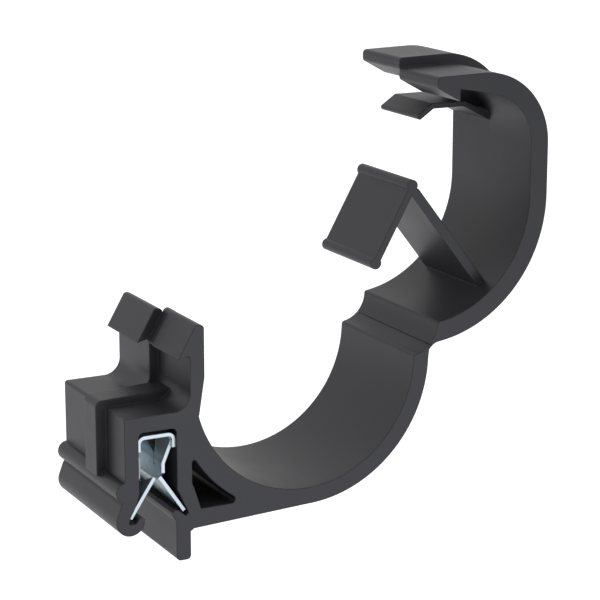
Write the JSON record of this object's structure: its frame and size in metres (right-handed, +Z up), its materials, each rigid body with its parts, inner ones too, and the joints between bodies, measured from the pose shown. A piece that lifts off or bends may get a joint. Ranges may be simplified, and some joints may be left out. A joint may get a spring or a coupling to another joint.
{
  "type": "cable edge clip",
  "caption": "Moulded clip with a steel spring insert that pushes onto a panel edge and carries an open cable ring whose hinged arm snaps shut over latch hooks.",
  "frame": {"origin": "middle of the panel slot and of the clip's width, level with the foot of the bearing flange", "axes": "+Z up, away from the panel that enters from below; +Y along the panel edge and the cables; +X from the slot towards the cable ring and its hinge"},
  "size_m": [0.0475, 0.015, 0.0458],
  "materials": {
    "moulded_plastic": "smooth satin black nylon",
    "spring_steel": "bright zinc plated spring steel"
  },
  "bodies": {
    "base": {"clamp_base": "moulded_plastic", "steel_spring_clip": "spring_steel"},
    "arm": {"closing_arm": "moulded_plastic"}
  },
  "joints": [
    {"name": "film_hinge", "type": "hinge", "parent": "base", "child": "arm", "pos_m": [0.02968, 0, 0.01783], "axis": [0, -1, 0], "range_deg": [0, 78], "stiffness_Nm_per_rad": 0.01}
  ]
}
